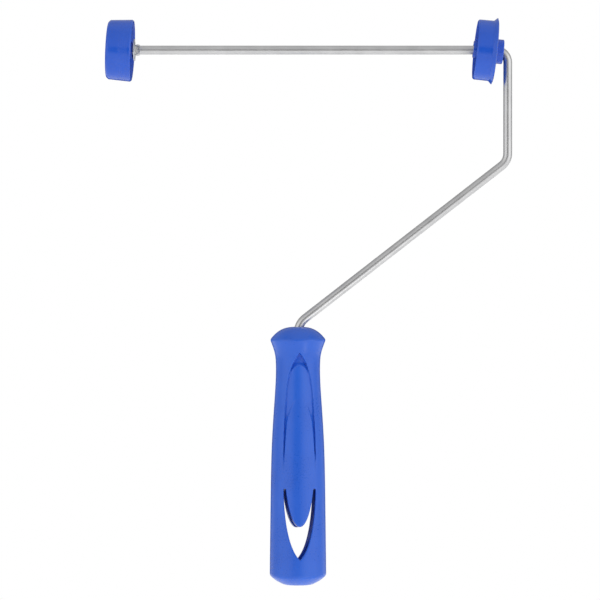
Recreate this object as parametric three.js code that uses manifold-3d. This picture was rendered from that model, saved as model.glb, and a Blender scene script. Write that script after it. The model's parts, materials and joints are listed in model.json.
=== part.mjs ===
// Paint roller frame: a bent steel wire with two spinning end caps and a moulded handle.
// Millimetres. +Z runs from the handle's butt up to the rod, and the rod lies along X.
// The origin is the centre of the pole socket's mouth, in the plane of the butt's lip.
// The wire lies in the XZ plane. The front of the handle faces -Y.

import * as THREE from 'three';
import { mergeVertices } from 'three/addons/utils/BufferGeometryUtils.js';
import Module from 'manifold-3d';

const wasm = await Module();
wasm.setup();

// Driving dimensions -------------------------------------------------------

const GAP = 0.3;                       // clearance between neighbouring pieces
const WIRE_R = 2.8;                    // radius of the steel wire
const ROD_Z = 341;                     // height of the rod above the butt
const ROD_END_X = -119.6;              // free end of the rod
const LEG_X = 134;                     // vertical leg beside the inner cap
const ARM_SLOPE = 0.777;               // rise of the diagonal arm per unit of X
const ARM_FOOT_Z = 166.1;              // height at which the arm's line meets the handle's axis
const WIRE_FOOT_Z = 96;                // buried end of the wire
const TOP_BEND_R = 8;
const LOWER_BEND_R = 10;
const ENTRY_BEND_R = 12.5;

const CRIMP = { x: -102.35, length: 2.9, height: 7.1, depth: 3.6 };
const TANG = { z: 101, length: 9, width: 8.6, depth: 2.6 };

const HANDLE_YAW = THREE.MathUtils.degToRad(4.4);
const HANDLE_TOP_Z = 164.3;
const SHOULDER = { z: 156, r: 17.75 };
const BUTT = { z: 6, r: 18, sphere: 25.5 };
const SOCKET = { mouthR: 8.5, floorR: 7.9, floorZ: 64, lip: 0.5 };
const CORE_TOP_Z = 150;                // height to which recess cores are built
const RECESS_FOOT_Z = 76;              // where the recess closes at the foot of the tongue's sides
const LENS_TOP_Z = 147.7;
const LENS_FOOT_Z = 15.3;

// Outlines on the handle's face. Each is the right half from top to bottom, as Bezier curves whose
// control points are [x, z] pairs, and the left half mirrors it. The lens is pointed at both ends.
const LENS = [
  [[0, LENS_TOP_Z], [6.9, 140.1], [8.33, 121.4]],
  [[8.33, 121.4], [10.2, 96.8], [10.2, 72]],
  [[10.2, 72], [10.2, 46], [8.3, 23.2], [0, LENS_FOOT_Z]],
];
// The V-shaped window is the lower part of the lens, less a round end.
const WINDOW = [
  [[0, 36.3], [4.4, 36.3], [7.6, 48.5], [8.7, 60.5]],
  [[8.7, 60.5], [10.15, 60.5]],
  [[10.15, 60.5], [9.9, 44], [7.9, 22.9], [0, LENS_FOOT_Z]],
];
// The tongue stands in the recess, and its sides close on the lens at RECESS_FOOT_Z.
const TONGUE = [
  [[0, 119.5], [5.4, 117.5], [8.1, 104]],
  [[8.1, 104], [9.3, 90], [10.12, RECESS_FOOT_Z]],
  [[10.12, RECESS_FOOT_Z], [10.15, 70]],
  [[10.15, 70], [0, 70]],
];
// The pocket lies under the lens's upper point.
const POCKET = [
  [[0, LENS_TOP_Z], [5.25, 141.92], [7.46, 132.9]],
  [[7.46, 132.9], [3.6, 139.9], [0, 139.9]],
];

// Depths below the grip's surface, as [z, depth] pairs. A negative depth leaves the surface whole.
const RECESS_DEPTHS = [[66, 0.7], [76, 0.7], [84, 1.4], [104, 1.4], [119.5, 0.9], [CORE_TOP_Z, 1.1]];
const TONGUE_DEPTHS = [[66, -0.4], [92, -0.25], [98, 0], [119.5, 0.9], [CORE_TOP_Z, 2.2]];
const POCKET_DEPTHS = [[66, 1.2], [131, 1.2], [139, 1.9], [CORE_TOP_Z, 3.3]];

const OUTER_TILT = THREE.MathUtils.degToRad(3);
const OUTER_PIVOT_X = -115;
const INNER_TILT = THREE.MathUtils.degToRad(5.6);
const INNER_PIVOT_X = 118.1;

// Sizes of the caps. Heights run along the axis from the pivot, away from the rod's free end.
const OUTER_CAP = {
  boreR: 3.7, hubR: 5.5, hubTop: 9.6, plateR: 9, plateTop: 0.6, wellR: 7.2, wellFloor: -1.2,
  end: -6.7, endWall: 2, endR: 18.85, rimR: 19.7, rim: 9.4, rimWall: 1.7, innerR: 16.8,
};
const PLUG = { r: 6.9, wall: 1, end: -6.6, skirtTop: -4.4, floor: -5.4, chamfer: 0.2 };
const INNER_CAP = {
  boreR: 3.9, boreTop: 7, hubR: 5.5, hubEnd: -6.2, innerR: 17.3, floor: 6, rim: -4.8, rimR: 18.4,
  leadR: 19.15, leadTop: -3.8, beadFoot: 5.3, beadR: 21.3, beadTop: 7.5, back: 8, backR: 19.6,
  collarR: 7.8, collarTop: 13, mouthR: 5.8, chamfer: 0.3, collarChamfer: 0.6,
};

const HUB_WASHER = { r: 7, thickness: 0.9, x: -104.6 };
const THRUST_WASHER = { r: 6, thickness: 0.8, x: -117.2 };
const RETAINING_RING = { x: -118.3, r: 5.6, dishR: 4.2, lipR: 3.6, lip: -0.9, face: -0.2, back: 0.4 };

const ROUND = 48;                      // facets round the caps and the handle
const WIRE_ROUND = 14;                 // facets round the wire
const WASHER_ROUND = 32;               // facets round the washers and the retaining ring

// Materials ----------------------------------------------------------------

const blue = () => new THREE.MeshStandardMaterial({ color: 0x3f63cd, roughness: 0.45, metalness: 0 });
const steel = () => new THREE.MeshStandardMaterial({ color: 0xb9b9bc, roughness: 0.3, metalness: 1 });

// Solids and meshes --------------------------------------------------------

function dropFlatTriangles(index) {
  const kept = [];
  for (let i = 0; i < index.length; i += 3) {
    const [a, b, c] = [index[i], index[i + 1], index[i + 2]];
    if (a !== b && b !== c && c !== a) kept.push(a, b, c);
  }
  return new Uint32Array(kept);
}

function toSolid(geometry) {
  const bare = geometry.clone();
  bare.deleteAttribute('normal');
  bare.deleteAttribute('uv');
  const merged = mergeVertices(bare, 1e-4);
  return new wasm.Manifold(new wasm.Mesh({
    numProp: 3,
    vertProperties: merged.attributes.position.array,
    triVerts: dropFlatTriangles(merged.index.array),
  }));
}

function toMesh(name, solid, material) {
  const result = solid.getMesh();
  const geometry = new THREE.BufferGeometry();
  geometry.setAttribute('position', new THREE.BufferAttribute(result.vertProperties, 3));
  geometry.setIndex(new THREE.BufferAttribute(result.triVerts, 1));
  geometry.computeVertexNormals();
  const mesh = new THREE.Mesh(geometry, material);
  mesh.name = name;
  return mesh;
}

// A profile is a list of [radius, height] pairs, going up the outside.
function lathe(profile, segments = ROUND) {
  return new THREE.LatheGeometry(profile.map(([r, h]) => new THREE.Vector2(r, h)), segments);
}

// A ring's profile closes on itself.
function ring(profile, segments = ROUND) {
  return lathe([...profile, profile[0]], segments);
}

// Turned about Z: the profile's height runs up +Z.
function turnedUp(geometry) {
  return geometry.rotateX(Math.PI / 2);
}

// Turned about the rod: the profile's height runs along +X from pivotX, and the axis drops by tilt.
function turnedOnRod(geometry, pivotX, tilt = 0) {
  return geometry.rotateZ(-Math.PI / 2).rotateY(tilt).translate(pivotX, 0, ROD_Z);
}

// The wire -----------------------------------------------------------------

// A path of straight runs and round corners. Straight runs have no stations between their ends.
class WirePath extends THREE.Curve {
  constructor(corners, radii, stepsPerBend) {
    super();
    this.stations = [corners[0]];
    corners.slice(1, -1).forEach((corner, i) => {
      this.addBend(corners[i], corner, corners[i + 2], radii[i], stepsPerBend);
    });
    this.stations.push(corners[corners.length - 1]);
  }

  addBend(before, corner, after, radius, steps) {
    const inward = before.clone().sub(corner).normalize();
    const outward = after.clone().sub(corner).normalize();
    const halfAngle = inward.angleTo(outward) / 2;
    const toCentre = inward.clone().add(outward).normalize();
    const centre = corner.clone().addScaledVector(toCentre, radius / Math.sin(halfAngle));
    const tangent = radius / Math.tan(halfAngle);
    const start = corner.clone().addScaledVector(inward, tangent).sub(centre);
    const end = corner.clone().addScaledVector(outward, tangent).sub(centre);
    const axis = start.clone().cross(end).normalize();
    const sweep = start.angleTo(end);
    for (let i = 0; i <= steps; i += 1) {
      const spoke = start.clone().applyAxisAngle(axis, (sweep * i) / steps);
      this.stations.push(centre.clone().add(spoke));
    }
  }

  getPoint(t, target = new THREE.Vector3()) {
    const place = t * (this.stations.length - 1);
    const i = Math.min(Math.floor(place), this.stations.length - 2);
    return target.lerpVectors(this.stations[i], this.stations[i + 1], place - i);
  }

  getUtoTmapping(u) {
    return u;
  }
}

function circle(radius, facets) {
  const shape = new THREE.Shape();
  for (let i = 0; i < facets; i += 1) {
    const angle = ((i + 0.5) / facets) * 2 * Math.PI;
    const point = [radius * Math.cos(angle), radius * Math.sin(angle)];
    if (i === 0) shape.moveTo(...point);
    else shape.lineTo(...point);
  }
  shape.closePath();
  return shape;
}

function wireTube(radius, facets) {
  const corners = [
    new THREE.Vector3(ROD_END_X, 0, ROD_Z),
    new THREE.Vector3(LEG_X, 0, ROD_Z),
    new THREE.Vector3(LEG_X, 0, ARM_FOOT_Z + ARM_SLOPE * LEG_X),
    new THREE.Vector3(0, 0, ARM_FOOT_Z),
    new THREE.Vector3(0, 0, WIRE_FOOT_Z),
  ];
  const path = new WirePath(corners, [TOP_BEND_R, LOWER_BEND_R, ENTRY_BEND_R], 6);
  const steps = path.stations.length - 1;
  return toSolid(new THREE.ExtrudeGeometry(circle(radius, facets), { steps, extrudePath: path }));
}

// An eight-sided lozenge, for wire that has been squeezed flat in a press.
function squeeze(width, depth, length) {
  const shape = new THREE.Shape();
  const cut = depth / 2;
  shape.moveTo(-width / 2, -length / 2 + cut);
  shape.lineTo(-width / 2, length / 2 - cut);
  shape.lineTo(-width / 2 + cut, length / 2);
  shape.lineTo(width / 2 - cut, length / 2);
  shape.lineTo(width / 2, length / 2 - cut);
  shape.lineTo(width / 2, -length / 2 + cut);
  shape.lineTo(width / 2 - cut, -length / 2);
  shape.lineTo(-width / 2 + cut, -length / 2);
  shape.closePath();
  const solid = new THREE.ExtrudeGeometry(shape, { depth, bevelEnabled: false });
  return solid.translate(0, 0, -depth / 2).rotateX(Math.PI / 2);
}

function crimp() {
  const lozenge = squeeze(CRIMP.height, CRIMP.depth, CRIMP.length + CRIMP.depth / 2);
  return toSolid(lozenge.rotateY(Math.PI / 2).translate(CRIMP.x, 0, ROD_Z));
}

function tang(extra) {
  const lozenge = squeeze(TANG.width + 2 * extra, TANG.depth + 2 * extra, TANG.length + 2 * extra);
  return toSolid(lozenge.translate(0, 0, TANG.z));
}

function wireFrame() {
  const solid = wireTube(WIRE_R, WIRE_ROUND).add(crimp()).add(tang(0));
  return toMesh('wire_frame', solid, steel());
}

// The handle ---------------------------------------------------------------

// Radius of the grip between the shoulder and the butt, at chosen heights.
const GRIP = new THREE.CatmullRomCurve3([
  [BUTT.r, BUTT.z + 0.2], [17.8, 24.3], [17.5, 49.8], [17.2, 70.3], [16.6, 90.7], [15.4, 111.1],
  [14.7, 121.4], [14.15, 131.6], [14.05, 136.7], [14.15, 141.8], [14.75, 147.2], [16.2, 152],
  [SHOULDER.r, SHOULDER.z],
].map(([r, z]) => new THREE.Vector3(r, z, 0)));

function gripRadius(z) {
  let low = 0;
  let high = 1;
  for (let i = 0; i < 24; i += 1) {
    const middle = (low + high) / 2;
    if (GRIP.getPoint(middle).y < z) low = middle;
    else high = middle;
  }
  return GRIP.getPoint(low).x;
}

function domeProfile() {
  const drop = HANDLE_TOP_Z - SHOULDER.z;
  const profile = [];
  for (let i = 1; i <= 6; i += 1) {
    const r = SHOULDER.r * (1 - i / 6);
    profile.push([r, HANDLE_TOP_Z - drop * (r / SHOULDER.r) ** 3]);
  }
  return profile;
}

// Height of the butt's spherical end above the lip of the pole socket.
function buttZ(r) {
  const sag = (radius) => BUTT.sphere - Math.sqrt(BUTT.sphere ** 2 - radius ** 2);
  return sag(r) - sag(SOCKET.mouthR + SOCKET.lip);
}

function handleBlank() {
  const profile = [[0, SOCKET.floorZ], [SOCKET.floorR, SOCKET.floorZ], [SOCKET.mouthR, SOCKET.lip]];
  for (let i = 0; i <= 4; i += 1) {
    const r = THREE.MathUtils.lerp(SOCKET.mouthR + SOCKET.lip, BUTT.r, i / 4);
    profile.push([r, buttZ(r)]);
  }
  for (let i = 0; i <= 16; i += 1) {
    const point = GRIP.getPoint(i / 16);
    profile.push([point.x, point.y]);
  }
  return toSolid(turnedUp(lathe([...profile, ...domeProfile()])));
}

function addCurve(shape, points) {
  const values = points.flat();
  if (points.length === 1) shape.lineTo(...values);
  else if (points.length === 2) shape.quadraticCurveTo(...values);
  else shape.bezierCurveTo(...values);
}

// A closed shape from the curves of its right half.
function outline(curves) {
  const shape = new THREE.Shape();
  shape.moveTo(...curves[0][0]);
  curves.forEach((curve) => addCurve(shape, curve.slice(1)));
  [...curves].reverse().forEach((curve) => {
    const mirrored = curve.map(([x, z]) => [-x, z]).reverse();
    addCurve(shape, mirrored.slice(1));
  });
  return shape;
}

// An outline in the XZ plane, pushed right through the handle from front to back.
function throughHandle(curves, curveSegments) {
  const depth = 3 * BUTT.r;
  const options = { depth, bevelEnabled: false, curveSegments };
  const solid = new THREE.ExtrudeGeometry(outline(curves), options);
  return toSolid(solid.translate(0, 0, -depth / 2).rotateX(Math.PI / 2));
}

function depthAt(depths, z) {
  const i = Math.max(1, depths.findIndex(([height]) => height >= z));
  const [lowZ, low] = depths[i - 1];
  const [highZ, high] = depths[i];
  return THREE.MathUtils.mapLinear(z, lowZ, highZ, low, high);
}

// The core that a recess leaves standing: the grip's radius less the recess's depth.
function standingCore(depths) {
  const levels = 21;
  const foot = depths[0][0];
  const profile = [[0, foot]];
  for (let i = 0; i <= levels; i += 1) {
    const z = THREE.MathUtils.lerp(foot, CORE_TOP_Z, i / levels);
    profile.push([gripRadius(z) - depthAt(depths, z), z]);
  }
  return toSolid(turnedUp(lathe([...profile, [0, CORE_TOP_Z]])));
}

// Everything that the recess takes out: the lens above its foot, less what is left standing in it.
function recess() {
  const pocket = throughHandle(POCKET, 6).subtract(standingCore(POCKET_DEPTHS));
  const tongue = throughHandle(TONGUE, 8).intersect(standingCore(TONGUE_DEPTHS));
  const standing = standingCore(RECESS_DEPTHS).subtract(pocket).add(tongue);
  const belowFoot = new THREE.CylinderGeometry(2 * BUTT.r, 2 * BUTT.r, RECESS_FOOT_Z, 8);
  const foot = toSolid(turnedUp(belowFoot.translate(0, RECESS_FOOT_Z / 2, 0)));
  return throughHandle(LENS, 10).subtract(standing).subtract(foot);
}

function handle() {
  const turn = [0, 0, THREE.MathUtils.radToDeg(HANDLE_YAW)];
  const grip = handleBlank().subtract(recess());
  const cut = grip.subtract(throughHandle(WINDOW, 8)).rotate(turn);
  const bore = wireTube(WIRE_R + GAP, WIRE_ROUND).translate([0, 0, -GAP]).add(tang(GAP));
  return toMesh('handle', cut.subtract(bore), blue());
}

// The end caps -------------------------------------------------------------

// A cup with a well in its end for the retaining ring, and a hub that runs inside it to the rim.
function outerCap() {
  const c = OUTER_CAP;
  const inside = c.end + c.endWall;
  const profile = [
    [c.boreR, c.hubTop], [c.boreR, c.wellFloor], [c.wellR, c.wellFloor], [c.wellR, c.end],
    [c.endR - 1.65, c.end], [c.endR - 0.55, c.end + 0.5], [c.endR, c.end + 1.6],
    [c.rimR, c.rim - 0.9], [c.rimR - 0.5, c.rim], [c.rimR - c.rimWall, c.rim],
    [c.innerR, inside], [c.plateR, inside], [c.plateR, c.plateTop], [c.hubR + 0.1, c.plateTop],
    [c.hubR, c.hubTop],
  ];
  return turnedOnRod(ring(profile), OUTER_PIVOT_X, OUTER_TILT);
}

function capPlug() {
  const { r, wall, end, skirtTop, floor, chamfer } = PLUG;
  const profile = [
    [0, end], [r - chamfer, end], [r, end + chamfer], [r, skirtTop], [r - wall, skirtTop],
    [r - wall, floor], [0, floor],
  ];
  return turnedOnRod(lathe(profile), OUTER_PIVOT_X, OUTER_TILT);
}

// A cup that opens the other way, with a sharp bead round its back and a collar over the bend.
function innerCap() {
  const c = INNER_CAP;
  const profile = [
    [c.boreR, c.hubEnd], [c.hubR - c.chamfer, c.hubEnd], [c.hubR, c.hubEnd + c.chamfer],
    [c.hubR, c.floor], [c.innerR, c.floor], [c.innerR + 0.1, c.rim], [c.rimR, c.rim],
    [c.leadR, c.leadTop], [c.leadR + 0.1, c.beadFoot], [c.beadR, c.beadTop - 0.2],
    [c.beadR, c.beadTop], [c.backR, c.back], [c.collarR, c.back],
    [c.collarR, c.collarTop - c.collarChamfer], [c.collarR - c.collarChamfer, c.collarTop],
    [c.mouthR, c.collarTop], [c.mouthR - 0.7, c.collarTop - 0.8], [c.boreR, c.boreTop],
  ];
  return turnedOnRod(ring(profile), INNER_PIVOT_X, INNER_TILT);
}

function meshOf(name, geometry, material) {
  const mesh = new THREE.Mesh(geometry, material);
  mesh.name = name;
  return mesh;
}

// Washers and ring ---------------------------------------------------------

function washer(name, { r, thickness, x }) {
  const bore = WIRE_R + GAP;
  const half = thickness / 2;
  const profile = [[bore, -half], [r, -half], [r, half], [bore, half]];
  return meshOf(name, turnedOnRod(ring(profile, WASHER_ROUND), x), steel());
}

// A dished spring ring whose bore grips the end of the wire.
function retainingRing() {
  const { x, r, dishR, lipR, lip, face, back } = RETAINING_RING;
  const bore = WIRE_R + GAP;
  const profile = [
    [bore, lip], [lipR, lip], [dishR, face], [r, face], [r, back], [dishR - 0.2, back],
    [bore, lip + 0.6],
  ];
  return meshOf('retaining_ring', turnedOnRod(ring(profile, WASHER_ROUND), x), steel());
}

// Assembly -----------------------------------------------------------------

const frame = new THREE.Group();
frame.add(wireFrame());
frame.add(handle());
frame.add(meshOf('outer_cap', outerCap(), blue()));
frame.add(meshOf('inner_cap', innerCap(), blue()));
frame.add(meshOf('cap_plug', capPlug(), blue()));
frame.add(washer('inner_washer', HUB_WASHER));
frame.add(washer('thrust_washer', THRUST_WASHER));
frame.add(retainingRing());

export default frame;
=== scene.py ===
import json
import math

import bmesh
import bpy
import numpy as np
from mathutils import Matrix, Vector


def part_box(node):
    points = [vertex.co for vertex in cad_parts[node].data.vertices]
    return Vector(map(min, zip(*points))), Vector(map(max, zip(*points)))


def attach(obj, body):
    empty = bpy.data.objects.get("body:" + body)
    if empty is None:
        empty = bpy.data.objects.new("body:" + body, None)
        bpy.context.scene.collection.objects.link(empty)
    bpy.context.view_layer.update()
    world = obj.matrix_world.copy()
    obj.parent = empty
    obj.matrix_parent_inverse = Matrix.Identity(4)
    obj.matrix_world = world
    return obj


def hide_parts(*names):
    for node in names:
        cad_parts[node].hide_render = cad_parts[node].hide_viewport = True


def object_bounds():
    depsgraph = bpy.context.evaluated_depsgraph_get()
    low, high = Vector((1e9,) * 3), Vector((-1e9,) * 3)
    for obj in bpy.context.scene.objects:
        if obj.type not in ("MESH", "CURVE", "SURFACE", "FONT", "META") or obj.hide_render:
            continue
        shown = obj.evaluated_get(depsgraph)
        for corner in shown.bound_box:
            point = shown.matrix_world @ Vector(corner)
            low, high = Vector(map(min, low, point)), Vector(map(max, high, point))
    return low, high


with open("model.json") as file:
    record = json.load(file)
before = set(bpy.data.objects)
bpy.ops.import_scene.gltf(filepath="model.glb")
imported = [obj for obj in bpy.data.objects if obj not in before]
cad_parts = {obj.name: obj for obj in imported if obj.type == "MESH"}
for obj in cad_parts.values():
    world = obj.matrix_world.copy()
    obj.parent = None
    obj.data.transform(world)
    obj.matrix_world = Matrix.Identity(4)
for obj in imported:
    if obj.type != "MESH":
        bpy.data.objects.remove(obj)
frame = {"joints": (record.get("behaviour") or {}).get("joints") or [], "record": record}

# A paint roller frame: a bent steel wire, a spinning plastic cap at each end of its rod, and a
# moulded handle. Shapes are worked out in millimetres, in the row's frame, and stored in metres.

cad_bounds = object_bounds()

MM = 0.001
JOINTS = {joint["name"]: joint for joint in frame["joints"]}
MOUNTS = {mount["name"]: mount for mount in frame["record"]["mounts"]}


def box_mm(node):
    low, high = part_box(node)
    return low / MM, high / MM


# ---------------------------------------------------------------- places taken from the frame

WIRE_LOW, WIRE_HIGH = box_mm("wire_frame")
HANDLE_HIGH = box_mm("handle")[1]
ROD_Z = JOINTS["outer_cap_spin"]["pos_m"][2] / MM
OUTER_PIVOT_X = JOINTS["outer_cap_spin"]["pos_m"][0] / MM
INNER_PIVOT_X = JOINTS["inner_cap_spin"]["pos_m"][0] / MM
OUTER_TILT = math.atan2(-JOINTS["outer_cap_spin"]["axis"][2], JOINTS["outer_cap_spin"]["axis"][0])
INNER_TILT = math.atan2(-JOINTS["inner_cap_spin"]["axis"][2], JOINTS["inner_cap_spin"]["axis"][0])
WASHER_X = JOINTS["inner_washer_spin"]["pos_m"][0] / MM
THRUST_X = JOINTS["thrust_washer_spin"]["pos_m"][0] / MM

# ---------------------------------------------------------------- driving sizes, in millimetres

WIRE_R = (WIRE_HIGH.y - WIRE_LOW.y) / 2
ROD_END_X = WIRE_LOW.x
LEG_X = WIRE_HIGH.x - WIRE_R
WIRE_FOOT_Z = WIRE_LOW.z
ARM_SLOPE = 0.777
ARM_FOOT_Z = 166.1
BENDS = (8.0, 10.0, 12.5)

CRIMP_X = -102.35
CRIMP_HALF = 1.45                      # half its length along the rod
CRIMP_HEIGHT = 3.6                     # from the rod's axis to the top of an ear
CRIMP_DEPTH = 1.85                     # half the wire's thickness where it is squeezed
FIT = 0.3                              # clearance between the wire and the pieces that turn on it

WIRE_FACETS, CAP_FACETS, WASHER_FACETS = 40, 144, 96
BEND_STEPS = 20

HANDLE_YAW = math.radians(4.4)
HANDLE_TOP_Z = HANDLE_HIGH.z
SHOULDER_Z, SHOULDER_R = 156.0, 17.75
BUTT_SPHERE = 25.5                     # radius of the butt's rounded end
SOCKET_MOUTH_R, SOCKET_FLOOR_R = 8.5, 7.9
SOCKET_FLOOR_Z = MOUNTS["pole_stop"]["pos_m"][2] / MM
LENS_TOP_Z, LENS_FOOT_Z = 147.7, 15.3
RECESS_FOOT_Z = 76.0
WINDOW_SLANT = 0.1                     # drop of the window per unit of depth, from front to back
RECESS_DEPTHS = ((66, 0.7), (76, 0.7), (84, 1.4), (104, 1.4), (119.5, 0.9), (150, 1.1))
TONGUE_DEPTHS = ((98, 0), (119.5, 0.9), (150, 2.2))
POCKET_DEPTHS = ((131, 2.2), (139, 2.6), (150, 3.3))


# ---------------------------------------------------------------- camera, light and floor

CAMERA_DISTANCE = 1.5326
CAMERA_LENS = 144.0
CAMERA_AIM = Vector((0.0013, 0.0, 0.1814))

TENT_FRONT_BACK = (0.5, 0.25)          # light from the tent's front and back
TENT_BELOW_ABOVE = (0.26, 0.2)         # light added from below and above
TENT_SIDES = (((1.25, -0.8, 0.1), 0.75), ((-1.25, -0.8, 0.1), 0.5))  # bright sides: way, light
TENT_SIDE_EDGE = 0.72                  # cosine of each bright side's half-angle
FLOOR_SIZE = 2.0                       # half the floor's width
FLOOR_DROP = 0.28                      # the object hangs this far above the floor
FLOOR_GLOW = 0.52                      # the floor is a lit sheet


def add_camera():
    camera = bpy.data.objects.new("camera", bpy.data.cameras.new("camera"))
    bpy.context.collection.objects.link(camera)
    camera.data.lens = CAMERA_LENS
    camera.data.sensor_width = 36.0
    camera.data.clip_end = 50.0
    camera.location = CAMERA_AIM - Vector((0.0, CAMERA_DISTANCE, 0.0))
    camera.rotation_euler = (math.pi / 2, 0.0, 0.0)
    bpy.context.scene.camera = camera


def add_area(name, place, aim, size, power):
    light = bpy.data.objects.new(name, bpy.data.lights.new(name, "AREA"))
    bpy.context.collection.objects.link(light)
    light.data.shape = "RECTANGLE"
    light.data.size, light.data.size_y = size
    light.data.energy = power
    light.location = place
    light.rotation_euler = (Vector(aim) - Vector(place)).to_track_quat("-Z", "Y").to_euler()


def add_world():
    """White to the eye. As light it is dimmer behind the object, with a soft bright patch each side."""
    world = bpy.data.worlds.new("studio")
    bpy.context.scene.world = world
    world.use_nodes = True
    nodes, links = world.node_tree.nodes, world.node_tree.links
    nodes.clear()
    output = nodes.new("ShaderNodeOutputWorld")
    tent, seen = nodes.new("ShaderNodeBackground"), nodes.new("ShaderNodeBackground")
    seen.inputs["Strength"].default_value = 1.0
    seen.inputs["Color"].default_value = tent.inputs["Color"].default_value = (1.0, 1.0, 1.0, 1.0)
    split = nodes.new("ShaderNodeSeparateXYZ")
    links.new(nodes.new("ShaderNodeTexCoord").outputs["Generated"], split.inputs[0])
    total = nodes.new("ShaderNodeMath")
    total.operation = "ADD"
    for axis, (front, back) in (("Y", TENT_FRONT_BACK), ("Z", TENT_BELOW_ABOVE)):
        share = nodes.new("ShaderNodeMapRange")
        share.interpolation_type = "SMOOTHSTEP"
        share.inputs["From Min"].default_value = -1.0
        share.inputs["To Min"].default_value = front
        share.inputs["To Max"].default_value = back
        links.new(split.outputs[axis], share.inputs["Value"])
        links.new(share.outputs["Result"], total.inputs[0 if axis == "Y" else 1])
    links.new(total.outputs[0], tent.inputs["Strength"])
    for direction, amount in TENT_SIDES:
        lobe = nodes.new("ShaderNodeVectorMath")
        lobe.operation = "DOT_PRODUCT"
        lobe.inputs[1].default_value = Vector(direction).normalized()
        links.new(split.inputs[0].links[0].from_socket, lobe.inputs[0])
        share = nodes.new("ShaderNodeMapRange")
        share.interpolation_type = "SMOOTHSTEP"
        share.inputs["From Min"].default_value = TENT_SIDE_EDGE
        share.inputs["To Max"].default_value = amount
        links.new(lobe.outputs["Value"], share.inputs["Value"])
        more = nodes.new("ShaderNodeMath")
        more.operation = "ADD"
        links.new(tent.inputs["Strength"].links[0].from_socket, more.inputs[0])
        links.new(share.outputs["Result"], more.inputs[1])
        links.new(more.outputs[0], tent.inputs["Strength"])
    choose = nodes.new("ShaderNodeMixShader")
    links.new(nodes.new("ShaderNodeLightPath").outputs["Is Camera Ray"], choose.inputs[0])
    links.new(tent.outputs[0], choose.inputs[1])
    links.new(seen.outputs[0], choose.inputs[2])
    links.new(choose.outputs[0], output.inputs["Surface"])


def add_card(name, centre, size, normal_y, shade):
    """A dark card that only reflections and light see, as a photographer's flag is."""
    half_x, half_z = size[0] / 2, size[1] / 2
    corners = [(-half_x, 0, -half_z), (half_x, 0, -half_z), (half_x, 0, half_z), (-half_x, 0, half_z)]
    mesh = bpy.data.meshes.new(name)
    mesh.from_pydata(corners, [], [(0, 1, 2, 3)] if normal_y < 0 else [(3, 2, 1, 0)])
    card = bpy.data.objects.new(name, mesh)
    bpy.context.collection.objects.link(card)
    card.location = centre
    card.visible_camera = False
    mesh.materials.append(plain_material(name, shade, 0.9))


def add_floor():
    corners = [(-1, -1, 0), (1, -1, 0), (1, 1, 0), (-1, 1, 0)]
    mesh = bpy.data.meshes.new("floor")
    mesh.from_pydata([(x * FLOOR_SIZE, y * FLOOR_SIZE, z) for x, y, z in corners], [], [(0, 1, 2, 3)])
    floor = bpy.data.objects.new("floor", mesh)
    bpy.context.collection.objects.link(floor)
    floor.location.z = cad_bounds[0][2] - FLOOR_DROP
    sheet = plain_material("floor", (0.9, 0.9, 0.9), 0.8)
    shader = sheet.node_tree.nodes["Principled BSDF"]
    shader.inputs["Emission Color"].default_value = (1.0, 1.0, 1.0, 1.0)
    shader.inputs["Emission Strength"].default_value = FLOOR_GLOW
    mesh.materials.append(sheet)


def plain_material(name, colour, roughness):
    material = bpy.data.materials.new(name)
    material.use_nodes = True
    shader = material.node_tree.nodes["Principled BSDF"]
    shader.inputs["Base Color"].default_value = (*colour, 1.0)
    shader.inputs["Roughness"].default_value = roughness
    return material


def set_stage():
    scene = bpy.context.scene
    scene.view_settings.view_transform = "Standard"
    add_world()
    add_floor()
    add_area("overhead", (0.2, 0.1, 1.9), (0, 0, 0.2), (1.4, 1.4), 1.1)
    add_area("arm_glint", (0.33, -0.43, -0.22), (0.075, 0, 0.22), (0.13, 0.13), 0.14)
    add_card("camera_side", (-0.13, -1.7, 0.2), (1.0, 0.66), 1, (0.05, 0.05, 0.05))
    add_card("far_side", (0.0, 1.0, 0.2), (1.3, 0.66), -1, (0.004, 0.008, 0.04))


# ---------------------------------------------------------------- node helpers

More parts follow.
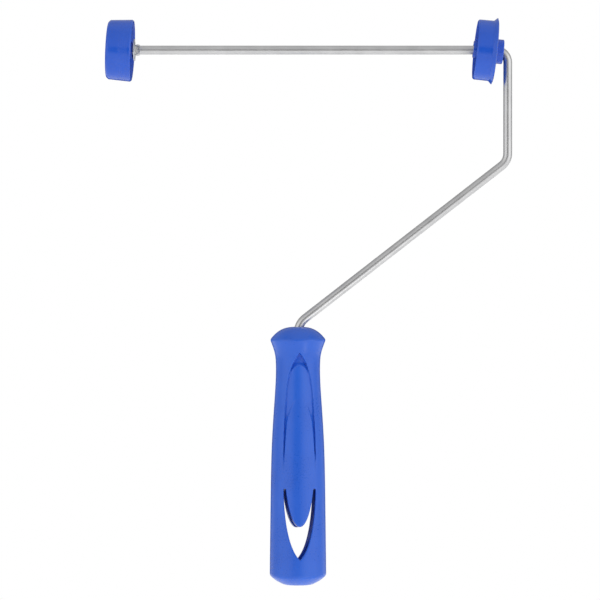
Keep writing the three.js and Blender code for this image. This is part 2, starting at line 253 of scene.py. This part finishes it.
class Nodes:
    """Short calls for making and linking shader nodes."""

    def __init__(self, name):
        self.material = bpy.data.materials.new(name)
        self.material.use_nodes = True
        self.tree = self.material.node_tree
        self.shader = self.tree.nodes["Principled BSDF"]
        self.coords = self.add("ShaderNodeTexCoord").outputs["Object"]

    def add(self, kind, **settings):
        node = self.tree.nodes.new(kind)
        for key, value in settings.items():
            setattr(node, key, value)
        return node

    def link(self, source, target):
        self.tree.links.new(source, target)

    def scaled(self, scale):
        mapping = self.add("ShaderNodeMapping")
        mapping.inputs["Scale"].default_value = scale
        self.link(self.coords, mapping.inputs["Vector"])
        return mapping.outputs["Vector"]

    def noise(self, scale, detail=3.0, stretch=(1, 1, 1)):
        node = self.add("ShaderNodeTexNoise")
        node.inputs["Scale"].default_value = scale
        node.inputs["Detail"].default_value = detail
        self.link(self.scaled(stretch), node.inputs["Vector"])
        return node.outputs["Fac"]

    def ramp(self, source, stops):
        node = self.add("ShaderNodeValToRGB")
        elements = node.color_ramp.elements
        while len(elements) < len(stops):
            elements.new(0.5)
        for element, (place, colour) in zip(elements, stops):
            element.position = place
            element.color = (*colour, 1.0)
        self.link(source, node.inputs["Fac"])
        return node.outputs["Color"]

    def span(self, source, low, high):
        node = self.add("ShaderNodeMapRange")
        node.inputs["To Min"].default_value = low
        node.inputs["To Max"].default_value = high
        self.link(source, node.inputs["Value"])
        return node.outputs["Result"]

    def mix(self, factor, first, second, mode="MIX"):
        node = self.add("ShaderNodeMix", data_type="RGBA", blend_type=mode)
        sockets = (node.inputs[0], node.inputs[6], node.inputs[7])
        for socket, value in zip(sockets, (factor, first, second)):
            if isinstance(value, (int, float)):
                socket.default_value = value
            elif isinstance(value, tuple):
                socket.default_value = (*value, 1.0)
            else:
                self.link(value, socket)
        return node.outputs[2]

    def maths(self, operation, first, second):
        node = self.add("ShaderNodeMath", operation=operation)
        for socket, value in zip(node.inputs, (first, second)):
            if isinstance(value, (int, float)):
                socket.default_value = value
            else:
                self.link(value, socket)
        return node.outputs[0]

    def bump(self, height, strength, distance):
        node = self.add("ShaderNodeBump")
        node.inputs["Strength"].default_value = strength
        node.inputs["Distance"].default_value = distance
        self.link(height, node.inputs["Height"])
        self.link(node.outputs["Normal"], self.shader.inputs["Normal"])


def moulded_plastic(name, colour, light, dark, gloss):
    """Satin polypropylene: cloudy colour, fine grain, faint flow marks and handling scuffs."""
    made = Nodes(name)
    clouds = made.noise(38.0, 4.0)
    flow = made.noise(22.0, 3.0, (3.0, 3.0, 0.35))
    grain = made.noise(2600.0, 2.0)
    speck = made.noise(700.0, 3.0)
    base = made.ramp(clouds, [(0.3, dark), (0.5, colour), (0.72, light)])
    streaks = made.ramp(flow, [(0.35, dark), (0.7, light)])
    made.link(made.mix(0.2, base, streaks), made.shader.inputs["Base Color"])
    rough = made.maths("ADD", made.span(clouds, gloss, gloss + 0.08), made.span(speck, 0.0, 0.1))
    made.link(rough, made.shader.inputs["Roughness"])
    height = made.maths("ADD", made.maths("MULTIPLY", grain, 0.2), made.maths("MULTIPLY", flow, 1.4))
    made.bump(height, 0.1, 0.0004)
    made.shader.inputs["IOR"].default_value = 1.49
    return made.material


def drawn_steel(name, colour, light, dark, roughness, along, relief):
    """Zinc-plated drawn steel: cloudy plating, fine die lines and small bright specks."""
    made = Nodes(name)
    clouds = made.noise(90.0, 5.0)
    lines = made.noise(1100.0, 2.0, along)
    specks = made.noise(1500.0, 3.0)
    base = made.ramp(clouds, [(0.3, dark), (0.52, colour), (0.75, light)])
    tracks = made.ramp(lines, [(0.3, dark), (0.7, light)])
    made.link(made.mix(0.35, base, tracks), made.shader.inputs["Base Color"])
    low, high = roughness
    rough = made.maths("ADD", made.span(clouds, low, high), made.span(specks, -0.03, 0.05))
    made.link(rough, made.shader.inputs["Roughness"])
    height = made.maths("ADD", made.maths("MULTIPLY", lines, 1.0), made.maths("MULTIPLY", specks, 0.3))
    made.bump(height, relief, 0.0001)
    made.shader.inputs["Metallic"].default_value = 1.0
    return made.material


# ---------------------------------------------------------------- mesh helpers

def add_mesh(name, points, faces, material, body, node, place=Matrix.Identity(4)):
    """A smooth-shaded piece from points in millimetres, which stands for a CAD node."""
    mesh = bpy.data.meshes.new(name)
    mesh.from_pydata([tuple(p) for p in np.asarray(points) * MM], [], [tuple(f) for f in faces])
    mesh.transform(place)
    mesh.validate()
    mesh.shade_smooth()
    mesh.materials.append(material)
    piece = bpy.data.objects.new(name, mesh)
    bpy.context.collection.objects.link(piece)
    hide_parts(node)
    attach(piece, body)
    return piece


def rounded(corners, steps=4):
    """Profile points from corners (radius, height, fillet), each corner turned into an arc."""
    points = []
    for i, (r, h, fillet) in enumerate(corners):
        here = np.array((r, h), float)
        before = np.array(corners[i - 1][:2], float) - here
        after = np.array(corners[(i + 1) % len(corners)][:2], float) - here
        if fillet == 0:
            points.append(here)
            continue
        a, b = before / np.linalg.norm(before), after / np.linalg.norm(after)
        half = math.acos(max(-1.0, min(1.0, float(a @ b)))) / 2
        reach = fillet / math.tan(half)
        start, end = here + a * reach, here + b * reach
        for k in range(steps + 1):
            t = k / steps
            points.append((1 - t) ** 2 * start + 2 * t * (1 - t) * here + t * t * end)
    return points


def lathe(profile, segments, closed):
    """Points and faces of a profile turned about the X axis, from pairs (radius, height along X)."""
    points, faces = [], []
    turns = [2 * math.pi * k / segments for k in range(segments)]
    rings = []
    for r, h in profile:
        if r < 1e-6:
            rings.append([len(points)] * segments)
            points.append((h, 0.0, 0.0))
            continue
        rings.append(list(range(len(points), len(points) + segments)))
        points += [(h, r * math.cos(t), r * math.sin(t)) for t in turns]
    for low, high in zip(rings, rings[1:] + (rings[:1] if closed else [])):
        for k in range(segments):
            n = (k + 1) % segments
            corner = [low[k], low[n], high[n], high[k]]
            face = [c for j, c in enumerate(corner) if c not in corner[:j]]
            if len(face) > 2:
                faces.append(face)
    return points, faces


def on_rod(pivot_x, tilt=0.0):
    """Puts a lathe about X at pivot_x on the rod, with its axis dropping by tilt."""
    move = Matrix.Translation(Vector((pivot_x, 0.0, ROD_Z)) * MM)
    return move @ Matrix.Rotation(tilt, 4, "Y")


# ---------------------------------------------------------------- the wire

def wire_stations():
    """Centreline points along the bent wire."""
    corners = [
        (ROD_END_X, ROD_Z), (LEG_X, ROD_Z), (LEG_X, ARM_FOOT_Z + ARM_SLOPE * LEG_X),
        (0.0, ARM_FOOT_Z), (0.0, WIRE_FOOT_Z),
    ]
    corners = [np.array(c, float) for c in corners]
    stations = []
    here = corners[0]
    for before, corner, after, radius in zip(corners, corners[1:], corners[2:], BENDS):
        inward = (before - corner) / np.linalg.norm(before - corner)
        outward = (after - corner) / np.linalg.norm(after - corner)
        half = math.acos(float(inward @ outward)) / 2
        start = corner + inward * radius / math.tan(half)
        end = corner + outward * radius / math.tan(half)
        centre = corner + (inward + outward) / np.linalg.norm(inward + outward) * radius / math.sin(half)
        stations += straight(here, start)
        sweep = math.pi - 2 * half
        turn = np.sign(np.cross(start - centre, end - centre))
        spoke = start - centre
        for k in range(BEND_STEPS + 1):
            angle = turn * sweep * k / BEND_STEPS
            c, s = math.cos(angle), math.sin(angle)
            point = centre + (c * spoke[0] - s * spoke[1], s * spoke[0] + c * spoke[1])
            stations.append(point)
        here = end
    stations += straight(here, corners[-1])
    stations.append(corners[-1])
    return merge_close(stations)


def straight(start, end, step=3.0):
    """Stations along a straight run, closer together where the rod is crimped."""
    length = np.linalg.norm(end - start)
    direction = (end - start) / length
    places = list(np.arange(0.0, length, step))
    if abs(start[1] - ROD_Z) < 1e-6:
        near = CRIMP_X - start[0]
        places += list(np.arange(near - 1.3 * CRIMP_HALF, near + 1.3 * CRIMP_HALF, 0.12))
    return [start + direction * p for p in sorted(places)]


def merge_close(stations):
    kept = [stations[0]]
    for point in stations[1:]:
        if np.linalg.norm(point - kept[-1]) > 0.08:
            kept.append(point)
    return kept


def wire_section(point, angle):
    """Half-height in the wire's plane and half-depth across it, at one angle of a station."""
    high, deep = WIRE_R * math.cos(angle), WIRE_R * math.sin(angle)
    share = abs(point[0] - CRIMP_X) / CRIMP_HALF
    if abs(point[1] - ROD_Z) > 0.5 or share >= 1:
        return high, deep
    ear = math.sqrt(1 - share * share)
    high *= 1 + ear * (CRIMP_HEIGHT / WIRE_R - 1)
    limit = WIRE_R + min(1.0, 1.6 * ear) * (CRIMP_DEPTH - WIRE_R)
    limit *= 1 - 0.22 * ear * math.exp(-(high / 1.3) ** 2)
    return high, max(-limit, min(limit, deep))


def make_wire(material):
    stations = wire_stations()
    around = WIRE_FACETS
    points, faces = [], []
    for i, point in enumerate(stations):
        before, after = stations[max(i - 1, 0)], stations[min(i + 1, len(stations) - 1)]
        along = (after - before) / np.linalg.norm(after - before)
        up = np.array((-along[1], along[0]))
        for k in range(around):
            high, deep = wire_section(point, 2 * math.pi * k / around)
            points.append((point[0] + up[0] * high, deep, point[1] + up[1] * high))
    for i in range(len(stations) - 1):
        for k in range(around):
            n = (k + 1) % around
            faces.append((i * around + k, i * around + n, (i + 1) * around + n, (i + 1) * around + k))
    faces.append(tuple(range(around))[::-1])
    faces.append(tuple(range((len(stations) - 1) * around, len(stations) * around)))
    piece = add_mesh("steel_wire", points, faces, material, "frame", "wire_frame")
    fix_normals(piece)


def fix_normals(piece):
    """Points every face outwards."""
    edit = bmesh.new()
    edit.from_mesh(piece.data)
    bmesh.ops.recalc_face_normals(edit, faces=edit.faces)
    edit.to_mesh(piece.data)
    edit.free()


# ---------------------------------------------------------------- the end caps and washers

def ringed(low, high, pitch, depth):
    """Corners of shallow rings moulded round a barrel between two points of its profile."""
    count = int((high[1] - low[1]) / pitch)
    corners = []
    for k in range(1, count):
        for shift, dip in ((-0.25, 0.0), (0.0, depth), (0.25, 0.0)):
            h = low[1] + k * pitch + shift
            r = low[0] + (high[0] - low[0]) * (h - low[1]) / (high[1] - low[1])
            corners.append((r - dip, h, 0.06))
    return corners


BARREL_END, BARREL_RIM = (18.85, -5.2), (19.7, 8.5)
OUTER_CAP = [
    (3.7, 9.6, 0.3), (3.7, -1.2, 0.0), (7.2, -1.2, 0.3), (7.2, -6.7, 0.25), (17.6, -6.7, 1.5),
    (*BARREL_END, 1.0), *ringed((19.2, 0.4), BARREL_RIM, 1.25, 0.09), (*BARREL_RIM, 0.4),
    (19.1, 9.4, 0.6), (18.0, 9.4, 0.2), (16.8, -4.7, 0.8), (9.0, -4.7, 0.3), (9.0, 0.6, 0.5),
    (5.7, 0.6, 0.6), (5.5, 9.6, 0.3),
]
INNER_CAP = [
    (3.9, -6.2, 0.3), (5.5, -6.2, 0.35), (5.55, 6.0, 0.6), (17.3, 6.0, 0.8), (17.4, -4.8, 0.25),
    (18.5, -4.8, 0.4), (19.15, -3.9, 0.5), (19.25, 5.3, 0.5), (21.3, 7.4, 0.1), (19.7, 8.0, 0.3),
    (7.8, 8.0, 0.4), (7.8, 12.9, 0.7), (5.8, 13.0, 0.3), (5.0, 12.0, 0.4), (3.9, 7.0, 0.8),
]
CAP_PLUG = [
    (0.0, -6.6, 0.0), (6.9, -6.6, 0.35), (6.9, -4.4, 0.2), (5.9, -4.4, 0.2), (5.9, -5.4, 0.2),
    (0.0, -5.4, 0.0),
]


def make_cap(name, corners, closed, material, body, node, pivot_x, tilt):
    points, faces = lathe(rounded(corners, 5 if closed else 4), CAP_FACETS, closed)
    piece = add_mesh(name, points, faces, material, body, node, on_rod(pivot_x, tilt))
    fix_normals(piece)


def make_washer(name, outer_r, thickness, x, material, body, node):
    half = thickness / 2
    bore = WIRE_R + FIT
    corners = [(bore, -half, 0.1), (outer_r, -half, 0.2), (outer_r, half, 0.1), (bore, half, 0.15)]
    points, faces = lathe(rounded(corners, 3), WASHER_FACETS, True)
    piece = add_mesh(name, points, faces, material, body, node, on_rod(x))
    fix_normals(piece)


def make_retaining_ring(material):
    low, high = box_mm("retaining_ring")
    base = (low.x + high.x) / 2 + 0.25
    bore = WIRE_R + FIT
    corners = [
        (bore, -0.9, 0.0), (bore + 0.5, -0.9, 0.1), (4.2, -0.2, 0.3), (5.6, -0.2, 0.15), (5.6, 0.4, 0.15),
        (4.0, 0.4, 0.3), (bore, -0.3, 0.0),
    ]
    points, faces = lathe(rounded(corners, 3), WASHER_FACETS, True)
    piece = add_mesh(
        "spring_ring", points, faces, material, "frame", "retaining_ring", on_rod(base))
    fix_normals(piece)


# ---------------------------------------------------------------- the handle

# The grip's radius at each height. The curve runs past the butt and the shoulder, which cut it off.
GRIP_Z = np.array((
    -4.0, 6.2, 24.3, 49.8, 70.3, 90.7, 111.1, 121.4, 131.6, 136.7, 141.8, 147.2, 152.0, 156.0, 162.0))
GRIP_R = np.array((
    18.05, 18.0, 17.8, 17.5, 17.2, 16.6, 15.4, 14.7, 14.15, 14.05, 14.15, 14.75, 16.2, 17.75, 20.3))


def spline_slopes(x, y):
    """Slopes at the knots of a natural cubic spline."""
    n = len(x)
    gap = np.diff(x)
    matrix, right = np.zeros((n, n)), np.zeros(n)
    matrix[0, :2], right[0] = (2, 1), 3 * (y[1] - y[0]) / gap[0]
    matrix[-1, -2:], right[-1] = (1, 2), 3 * (y[-1] - y[-2]) / gap[-1]
    for i in range(1, n - 1):
        matrix[i, i - 1: i + 2] = (gap[i], 2 * (gap[i - 1] + gap[i]), gap[i - 1])
        right[i] = 3 * (gap[i] * (y[i] - y[i - 1]) / gap[i - 1] + gap[i - 1] * (y[i + 1] - y[i]) / gap[i])
    return np.linalg.solve(matrix, right)


GRIP_SLOPE = spline_slopes(GRIP_Z, GRIP_R)


def grip_radius(z):
    """Radius of the grip at heights z, on a smooth curve through the knots."""
    z = np.clip(z, GRIP_Z[0], GRIP_Z[-1])
    i = np.clip(np.searchsorted(GRIP_Z, z) - 1, 0, len(GRIP_Z) - 2)
    gap = GRIP_Z[i + 1] - GRIP_Z[i]
    t = (z - GRIP_Z[i]) / gap
    h00, h10 = (1 + 2 * t) * (1 - t) ** 2, t * (1 - t) ** 2
    h01, h11 = t * t * (3 - 2 * t), t * t * (t - 1)
    start = h00 * GRIP_R[i] + h10 * gap * GRIP_SLOPE[i]
    return start + h01 * GRIP_R[i + 1] + h11 * gap * GRIP_SLOPE[i + 1]


def bezier(points, count=24):
    t = np.linspace(0, 1, count, endpoint=False)[:, None]
    p = [np.array(q, float) for q in points]
    if len(p) == 2:
        return (1 - t) * p[0] + t * p[1]
    if len(p) == 3:
        return (1 - t) ** 2 * p[0] + 2 * t * (1 - t) * p[1] + t * t * p[2]
    return (1 - t) ** 3 * p[0] + 3 * t * (1 - t) ** 2 * p[1] + 3 * t * t * (1 - t) * p[2] + t ** 3 * p[3]


def mirrored(right_side):
    """A closed outline from the curves of its right side, which run from the top to the bottom."""
    right = np.vstack([bezier(curve) for curve in right_side] + [np.array([right_side[-1][-1]], float)])
    left = right[::-1] * (-1, 1)
    return np.vstack([right, left[1:-1]])


LENS = [
    [(0, LENS_TOP_Z), (6.9, 140.1), (8.33, 121.4)],
    [(8.33, 121.4), (10.2, 96.8), (10.2, 72)],
    [(10.2, 72), (10.2, 46), (8.3, 23.2), (0, LENS_FOOT_Z)],
]
WINDOW = [
    [(0, 36.3), (4.4, 36.3), (7.6, 48.5), (8.7, 60.5)],
    [(8.7, 60.5), (10.15, 60.5)],
    [(10.15, 60.5), (9.9, 44), (7.9, 22.9), (0, LENS_FOOT_Z)],
]
TONGUE = [
    [(0, 119.5), (5.4, 117.5), (8.1, 104)],
    [(8.1, 104), (9.3, 90), (10.12, RECESS_FOOT_Z)],
    [(10.12, RECESS_FOOT_Z), (10.15, 60)],
    [(10.15, 60), (0, 60)],
]
# The pocket's upper sides lie outside the lens, so that only its lower arch shows.
POCKET = [
    [(0, 154), (8, 146), (11, 131)],
    [(11, 131), (7.46, 132.9)],
    [(7.46, 132.9), (3.6, 139.9), (0, 139.9)],
]


class Outline:
    """Signed distance to a closed outline in the XZ plane, sampled on a fine grid."""

    STEP = 0.25

    def __init__(self, curves):
        loop = mirrored(curves)
        self.x = np.arange(-24, 24.01, self.STEP)
        self.z = np.arange(-8, 172.01, self.STEP)
        grid = np.stack(np.meshgrid(self.x, self.z, indexing="ij"), -1).reshape(-1, 2)
        self.values = self.distance(grid, loop).reshape(len(self.x), len(self.z))

    @staticmethod
    def distance(grid, loop):
        nearest = np.full(len(grid), 1e9)
        inside = np.zeros(len(grid), bool)
        for a, b in zip(loop, np.roll(loop, -1, 0)):
            edge, offset = b - a, grid - a
            share = np.clip(offset @ edge / max(edge @ edge, 1e-12), 0, 1)
            nearest = np.minimum(nearest, ((offset - share[:, None] * edge) ** 2).sum(1))
            spans = (a[1] > grid[:, 1]) != (b[1] > grid[:, 1])
            rise = b[1] - a[1] if abs(b[1] - a[1]) > 1e-12 else 1e-12
            inside ^= spans & (grid[:, 0] < a[0] + edge[0] * (grid[:, 1] - a[1]) / rise)
        return np.where(inside, -1, 1) * np.sqrt(nearest)

    def __call__(self, x, z):
        u = np.clip((x - self.x[0]) / self.STEP, 0, len(self.x) - 1.001)
        v = np.clip((z - self.z[0]) / self.STEP, 0, len(self.z) - 1.001)
        i, j = u.astype(int), v.astype(int)
        s, t = u - i, v - j
        table = self.values
        low = table[i, j] * (1 - s) + table[i + 1, j] * s
        high = table[i, j + 1] * (1 - s) + table[i + 1, j + 1] * s
        return low * (1 - t) + high * t


def within(distance, width):
    """1 inside an outline and 0 outside it, changing smoothly over width."""
    share = np.clip(0.5 - distance / width, 0, 1)
    return share * share * (3 - 2 * share)


def both(a, b, blend):
    """The space in both solids, with the edge between them rounded over about blend."""
    gap = np.clip(blend - np.abs(a - b), 0, None) / blend
    return np.maximum(a, b) + gap * gap * blend / 4


def without(a, b, blend):
    return both(a, -b, blend)


def butt_sag(r):
    """Height of the butt's rounded end above its lowest point, at radius r."""
    return BUTT_SPHERE - np.sqrt(np.clip(BUTT_SPHERE ** 2 - r ** 2, 1, None))


class HandleField:
    """Signed distance, in millimetres, to the moulded handle before it is turned on the wire."""

    def __init__(self):
        self.window = Outline(WINDOW)
        self.lens = Outline(LENS)
        self.pocket = Outline(POCKET)
        self.tongue = Outline(TONGUE)
        c, s = math.cos(HANDLE_YAW), math.sin(HANDLE_YAW)
        turn = np.array([[c, s], [-s, c]])
        buried = [p for p in wire_stations() if p[1] < HANDLE_TOP_Z + 8 and p[0] < 20]
        flat = np.array([(p[0], 0.0) for p in buried]) @ turn.T
        self.wire = np.column_stack([flat, [p[1] for p in buried]])

    def blank(self, p, r):
        z = p[:, 2]
        slope = grip_radius(z + 0.5) - grip_radius(z - 0.5)
        side = (r - grip_radius(z) + self.depth(p[:, 0], z)) / np.sqrt(1 + slope ** 2)
        drop = HANDLE_TOP_Z + 0.02 - SHOULDER_Z
        fall = 3 * drop * r ** 2 / SHOULDER_R ** 3
        dome = (z - HANDLE_TOP_Z - 0.02 + drop * (r / SHOULDER_R) ** 3) / np.sqrt(1 + fall ** 2)
        butt = (butt_sag(np.minimum(r, 24)) - butt_sag(SOCKET_MOUTH_R + 0.5) - z) * 0.8
        return both(both(side, dome, 0.9), butt, 0.9)

    def depth(self, x, z):
        """Depth of the recess below the grip's surface, with its walls spread over a short width."""
        floor = np.interp(z, *zip(*RECESS_DEPTHS))
        floor += within(self.pocket(x, z) + 1.0, 3.0) * (np.interp(z, *zip(*POCKET_DEPTHS)) - floor)
        floor += within(self.tongue(x, z), 0.5) * (np.interp(z, *zip(*TONGUE_DEPTHS)) - floor)
        return floor * within(self.lens(x, z), 0.45) * within(RECESS_FOOT_Z - 2 - z, 6.0)

    def socket(self, p, r):
        z = p[:, 2]
        bore = SOCKET_MOUTH_R + (SOCKET_FLOOR_R - SOCKET_MOUTH_R) * z / SOCKET_FLOOR_Z
        return both(r - bore, z - SOCKET_FLOOR_Z, 0.6)

    def bore(self, p):
        """Clearance round the wire, which bends as it leaves the handle."""
        nearest = np.full(len(p), 1e9)
        for a, b in zip(self.wire, self.wire[1:]):
            edge, offset = b - a, p - a
            share = np.clip(offset @ edge / (edge @ edge), 0, 1)
            nearest = np.minimum(nearest, ((offset - share[:, None] * edge) ** 2).sum(1))
        return np.sqrt(nearest) - WIRE_R - 0.2

    def __call__(self, p):
        r = np.hypot(p[:, 0], p[:, 1])
        solid = self.blank(p, r)
        solid = without(solid, self.window(p[:, 0], p[:, 2] + WINDOW_SLANT * p[:, 1]), 0.7)
        solid = without(solid, self.socket(p, r), 1.0)
        near_wire = r < 7
        solid[near_wire] = without(solid[near_wire], self.bore(p[near_wire]), 0.5)
        return solid


def surface_net(values, axes):
    """Points and quads of the zero surface of a sampled field, one point in each cell it crosses."""
    cells = np.array(values.shape) - 1
    total = np.zeros((*cells, 3))
    count = np.zeros(cells)
    edges = []
    for axis in range(3):
        low = np.take(values, range(cells[axis]), axis)
        high = np.take(values, range(1, cells[axis] + 1), axis)
        crossing = np.argwhere((low < 0) != (high < 0))
        a = low[tuple(crossing.T)]
        b = high[tuple(crossing.T)]
        place = crossing.astype(float)
        place[:, axis] += a / (a - b)
        u, v = (axis + 1) % 3, (axis + 2) % 3
        inner = (crossing[:, u] > 0) & (crossing[:, u] < cells[u])
        inner &= (crossing[:, v] > 0) & (crossing[:, v] < cells[v])
        crossing, place, a = crossing[inner], place[inner], a[inner]
        around = []
        for du, dv in ((0, 0), (1, 0), (1, 1), (0, 1)):
            cell = crossing.copy()
            cell[:, u] -= du
            cell[:, v] -= dv
            np.add.at(total, tuple(cell.T), place)
            np.add.at(count, tuple(cell.T), 1)
            around.append(np.ravel_multi_index(tuple(cell.T), tuple(cells)))
        quads = np.stack(around, 1)
        quads[a > 0] = quads[a > 0][:, ::-1]
        edges.append(quads)
    used = np.flatnonzero(count.ravel())
    renumber = np.full(count.size, -1)
    renumber[used] = np.arange(len(used))
    points = total.reshape(-1, 3)[used] / count.ravel()[used][:, None]
    places = [np.interp(points[:, i], np.arange(len(axis)), axis) for i, axis in enumerate(axes)]
    return np.stack(places, 1), renumber[np.vstack(edges)]


def spaced(zones):
    """Sample places along an axis from (start, end, step) zones that follow on from each other."""
    runs = []
    for start, end, step in zones:
        count = max(1, round((end - start) / step / (1.0)))
        runs.append(np.linspace(start, end, count, endpoint=False))
    return np.append(np.concatenate(runs), zones[-1][1])


def settle(points, field, rounds=3, reach=0.25):
    """Moves points on to the field's zero surface along its slope."""
    h = 0.03
    for _ in range(rounds):
        value = field(points)
        slope = np.stack([
            (field(points + h * axis) - field(points - h * axis)) / (2 * h) for axis in np.eye(3)
        ], 1)
        size = np.maximum((slope ** 2).sum(1), 0.05)
        points = points - np.clip(value / size, -reach, reach)[:, None] * slope
    return points


def relax(points, quads, field, rounds=3):
    """Evens out the mesh along the surface and puts it back on the field's zero surface."""
    corners, after = quads.ravel(), np.roll(quads, -1, 1).ravel()
    count = np.bincount(corners, minlength=len(points)) + np.bincount(after, minlength=len(points))
    for _ in range(rounds):
        mean = np.stack([
            np.bincount(corners, points[after, i], len(points))
            + np.bincount(after, points[corners, i], len(points))
            for i in range(3)
        ], 1) / count[:, None]
        points = settle(points + 0.6 * (mean - points), field, 1)
    return settle(points, field, 1)


def make_handle(material):
    field = HandleField()
    axes = [
        spaced([(-18.9, -11, 0.65), (-11, 11, 0.4), (11, 18.9, 0.65)]),
        spaced([(-18.9, -11.5, 0.42), (-11.5, 11.5, 0.75), (11.5, 18.9, 0.42)]),
        spaced([(-1.5, HANDLE_TOP_Z + 1.5, 0.65)]),
    ]
    grid = np.stack(np.meshgrid(*axes, indexing="ij"), -1).reshape(-1, 3)
    values = np.concatenate([field(part) for part in np.array_split(grid, 24)])
    points, quads = surface_net(values.reshape([len(axis) for axis in axes]), axes)
    points = relax(settle(points, field), quads, field)
    turn = Matrix.Rotation(HANDLE_YAW, 4, "Z")
    piece = add_mesh("moulded_handle", points, quads, material, "frame", "handle", turn)
    fix_normals(piece)
    piece.cycles.shadow_terminator_geometry_offset = 0.0


# ---------------------------------------------------------------- assembly

add_camera()
set_stage()

# Each material has a main, a lighter and a darker colour.
handle_blue = moulded_plastic(
    "handle_blue", (0.0175, 0.117, 0.645), (0.0215, 0.132, 0.685), (0.0145, 0.102, 0.585), gloss=0.2)
cap_blue = moulded_plastic(
    "cap_blue", (0.0155, 0.099, 0.605), (0.0195, 0.113, 0.645), (0.0125, 0.087, 0.555), gloss=0.12)
wire_steel = drawn_steel(
    "wire_zinc", (0.59, 0.59, 0.595), (0.66, 0.66, 0.66), (0.51, 0.51, 0.515),
    roughness=(0.27, 0.36), along=(0.04, 1, 0.04), relief=0.1)
washer_steel = drawn_steel(
    "washer_zinc", (0.74, 0.76, 0.77), (0.83, 0.85, 0.86), (0.64, 0.66, 0.67),
    roughness=(0.35, 0.5), along=(1, 1, 1), relief=0.2)
spring_steel = drawn_steel(
    "spring_steel", (0.3, 0.31, 0.33), (0.4, 0.4, 0.42), (0.2, 0.21, 0.23),
    roughness=(0.3, 0.42), along=(1, 1, 1), relief=0.2)

make_wire(wire_steel)
make_handle(handle_blue)
make_cap("outer_cup", OUTER_CAP, True, cap_blue, "outer_roller", "outer_cap", OUTER_PIVOT_X, OUTER_TILT)
make_cap("inner_cup", INNER_CAP, True, cap_blue, "inner_roller", "inner_cap", INNER_PIVOT_X, INNER_TILT)
make_cap("plug_disc", CAP_PLUG, False, cap_blue, "outer_roller", "cap_plug", OUTER_PIVOT_X, OUTER_TILT)
make_washer("hub_side_washer", 7.0, 0.9, WASHER_X, washer_steel, "hub_washer", "inner_washer")
make_washer("end_side_washer", 6.0, 0.8, THRUST_X, washer_steel, "end_washer", "thrust_washer")
make_retaining_ring(spring_steel)
